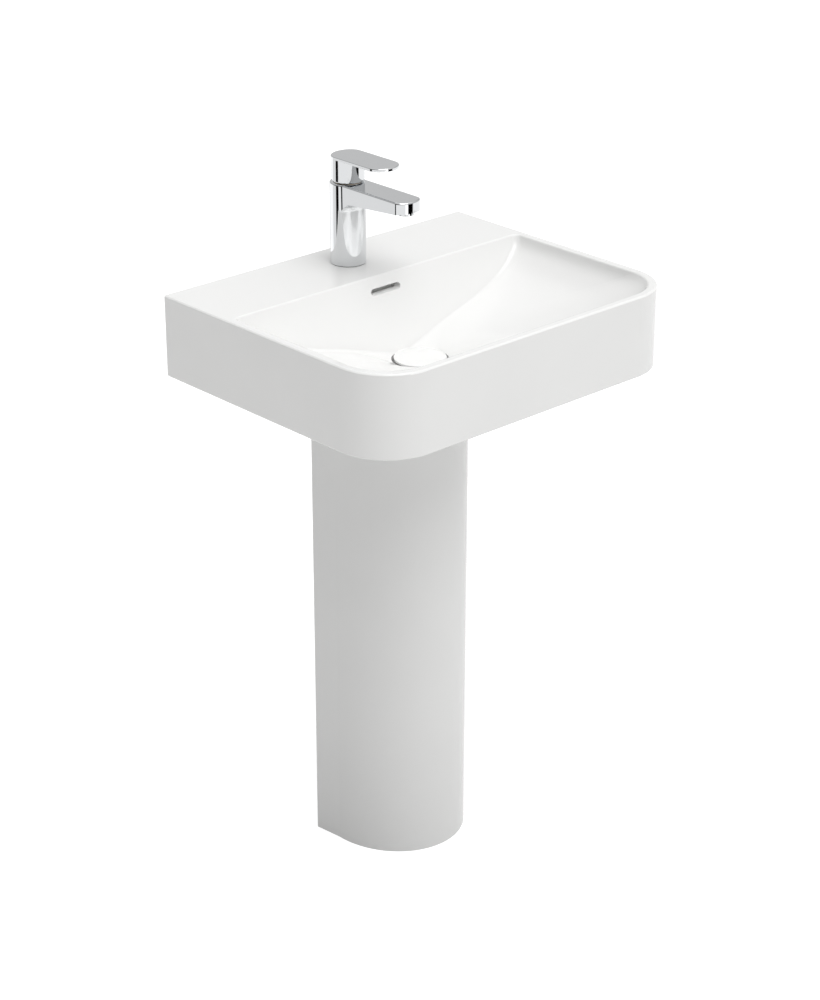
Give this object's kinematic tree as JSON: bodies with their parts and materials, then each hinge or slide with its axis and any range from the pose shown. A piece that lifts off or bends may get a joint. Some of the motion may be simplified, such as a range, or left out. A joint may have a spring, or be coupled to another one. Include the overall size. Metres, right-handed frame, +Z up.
{
  "type": "pedestal sink",
  "caption": "Rectangular ceramic wash basin with rounded front corners and a sloped bowl, on an open-backed pedestal, with a single-lever mixer tap, push-open waste and bottle trap.",
  "frame": {"origin": "on the floor, below the middle of the basin's outline", "axes": "+Z up; -Y is the front, towards the person using it; +Y meets the wall; +X is that person's right"},
  "size_m": [0.55, 0.44, 1.0162],
  "materials": {
    "glaze": "glossy white glaze",
    "chrome": "polished chrome plate",
    "brass": "turned",
    "steel": "bright zinc or stainless",
    "seal_rubber": "moulded",
    "silicone": "satin white bead",
    "disc_ceramic": "lapped alumina",
    "grey_plastic": "moulded",
    "white_plastic": "moulded"
  },
  "bodies": {
    "sink": {"basin": "glaze", "basin_bowl": "glaze", "basin_underside": "glaze", "pedestal": "glaze", "tap_body": "chrome", "trim_ring": "chrome", "aerator_ring": "chrome", "waste_body": "chrome", "tap_stud_nut": "brass", "cartridge_nut": "brass", "waste_backnut": "brass", "tap_stud": "steel", "tap_clamp_plate": "steel", "click_spring": "steel", "tap_base_gasket": "seal_rubber", "tap_clamp_rubber": "seal_rubber", "cartridge_base_seal": "seal_rubber", "aerator_washer": "seal_rubber", "waste_top_seal": "seal_rubber", "waste_cone_seal": "seal_rubber", "trap_inlet_seal": "seal_rubber", "trap_cup_seal": "seal_rubber", "trap_outlet_seal": "seal_rubber", "pedestal_bedding": "silicone", "fixed_disc": "disc_ceramic", "cartridge_housing": "grey_plastic", "aerator_insert": "grey_plastic", "click_cage": "grey_plastic", "waste_washer": "grey_plastic", "trap_inlet_nut": "white_plastic", "trap_body": "white_plastic", "trap_cup": "white_plastic", "trap_outlet_nut": "white_plastic", "outlet_pipe": "white_plastic"},
    "lever_carrier": {"spindle_carrier": "grey_plastic", "spindle_pin": "steel"},
    "lever_assembly": {"spindle": "brass", "lever": "chrome", "lever_grub_screw": "steel", "lever_plug": "chrome"},
    "valve_disc": {"moving_disc": "disc_ceramic"},
    "waste_plug": {"plunger": "brass", "cap_seal": "seal_rubber", "waste_cap": "glaze"}
  },
  "joints": [
    {"name": "lever_turn", "type": "hinge", "parent": "sink", "child": "lever_carrier", "pos_m": [0, 0.155, 0.971], "axis": [0, 0, 1], "range_deg": [-45, 45]},
    {"name": "lever_lift", "type": "hinge", "parent": "lever_carrier", "child": "lever_assembly", "pos_m": [0, 0.155, 0.971], "axis": [-1, 0, 0], "range_deg": [0, 22]},
    {"name": "disc_slide", "type": "slide", "parent": "lever_carrier", "child": "valve_disc", "axis": [0, -1, 0], "range_m": [0, 0.0027]},
    {"name": "waste_click", "type": "slide", "parent": "sink", "child": "waste_plug", "axis": [0, 0, -1], "range_m": [0, 0.0082], "stiffness_N_per_m": 1200, "springref_m": -0.003, "deforming": ["click_spring"]}
  ],
  "couplings": [
    {"joint": "disc_slide", "follows": "lever_lift", "m_per_rad": 0.0068}
  ]
}
